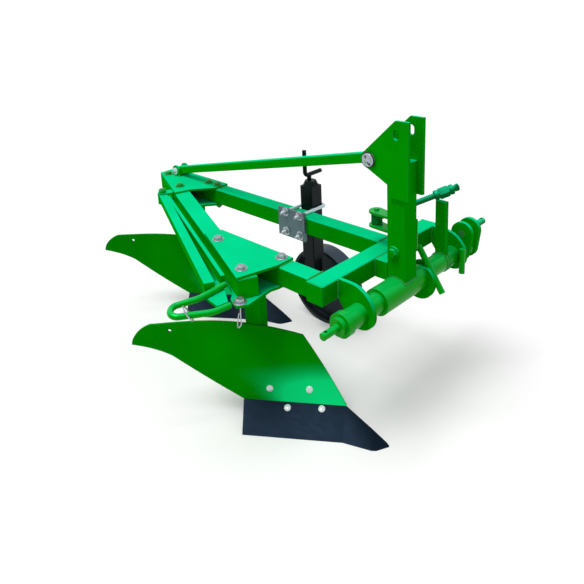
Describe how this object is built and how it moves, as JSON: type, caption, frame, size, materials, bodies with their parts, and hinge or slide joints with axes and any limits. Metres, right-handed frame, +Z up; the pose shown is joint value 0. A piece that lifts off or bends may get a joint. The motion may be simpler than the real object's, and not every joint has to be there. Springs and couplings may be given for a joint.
{
  "type": "mounted mouldboard plough",
  "caption": "Mounted mouldboard plough with a square-tube frame, twisted boards, a cranked cross shaft, a mast for a three-point hitch and a depth wheel.",
  "frame": {"origin": "centre of the bounding box in X and Y, on the ground", "axes": "+X is the way the plough travels, +Y is the driver's left, +Z is up"},
  "size_m": [1.364, 1.0276, 0.911],
  "materials": {
    "green_paint": "glossy green paint",
    "black_paint": "satin black paint",
    "share_steel": "matt dark slate paint",
    "zinc": "bright zinc plating"
  },
  "bodies": {
    "frame": {"front_crossbeam": "green_paint", "left_beam": "green_paint", "diagonal_beam": "green_paint", "right_beam": "green_paint", "beam_end_caps": "green_paint", "front_gussets": "green_paint", "rear_gussets": "green_paint", "bearing_plates": "green_paint", "mast_sleeve": "green_paint", "mast_tube": "green_paint", "mast_bracket": "green_paint", "mast_cheeks": "green_paint", "shaft_flanges": "green_paint", "keeper_bars": "green_paint", "mast_bolt": "green_paint", "screw_bracket": "green_paint", "top_stay": "green_paint", "stay_front_pin": "zinc", "rear_stay_ears": "green_paint", "rear_stay_pin": "zinc", "wheel_clamp_plate": "zinc", "wheel_outer_tube": "black_paint", "wheel_tube_cap": "black_paint", "wheel_u_bolts": "zinc", "depth_crank": "black_paint", "mouldboards": "green_paint", "shares": "share_steel", "frogs": "green_paint", "landsides": "share_steel", "shanks": "green_paint", "arm_lugs": "green_paint", "arm_pivot_bolt": "zinc"},
    "cross_shaft": {"cross_shaft_tube": "green_paint", "right_lower_pin": "green_paint", "left_crank_plates": "green_paint", "left_lower_pin": "green_paint", "lever_arm": "green_paint"},
    "adjusting_screw": {"adjusting_screw": "green_paint"},
    "depth_leg": {"depth_leg": "black_paint"},
    "depth_wheel": {"wheel_rim": "black_paint", "wheel_disc": "black_paint"},
    "towing_arm": {"arm_main_bar": "green_paint", "arm_brace_bar": "green_paint", "arm_front_plate": "green_paint", "tow_loop": "green_paint"}
  },
  "joints": [
    {"name": "cross_shaft_turn", "type": "hinge", "parent": "frame", "child": "cross_shaft", "pos_m": [0.59901, 0.0718, 0.412], "axis": [0, 1, 0], "range_deg": [-8, 8]},
    {"name": "screw_swing", "type": "hinge", "parent": "frame", "child": "adjusting_screw", "pos_m": [0.46602, 0.1218, 0.571], "axis": [0, 0, 1], "range_deg": [-7.5, 7.5]},
    {"name": "depth_leg_slide", "type": "slide", "parent": "frame", "child": "depth_leg", "axis": [0, 0, 1], "range_m": [0, 0.12]},
    {"name": "depth_wheel_spin", "type": "hinge", "parent": "depth_leg", "child": "depth_wheel", "pos_m": [0.08601, 0.3028, 0.149], "axis": [0, 1, 0], "continuous": true},
    {"name": "towing_arm_swing", "type": "hinge", "parent": "frame", "child": "towing_arm", "pos_m": [-0.47383, -0.02357, 0.47], "axis": [0, 0, 1], "range_deg": [-110, 0]}
  ],
  "couplings": [
    {"joint": "screw_swing", "follows": "cross_shaft_turn", "ratio": -0.823}
  ]
}
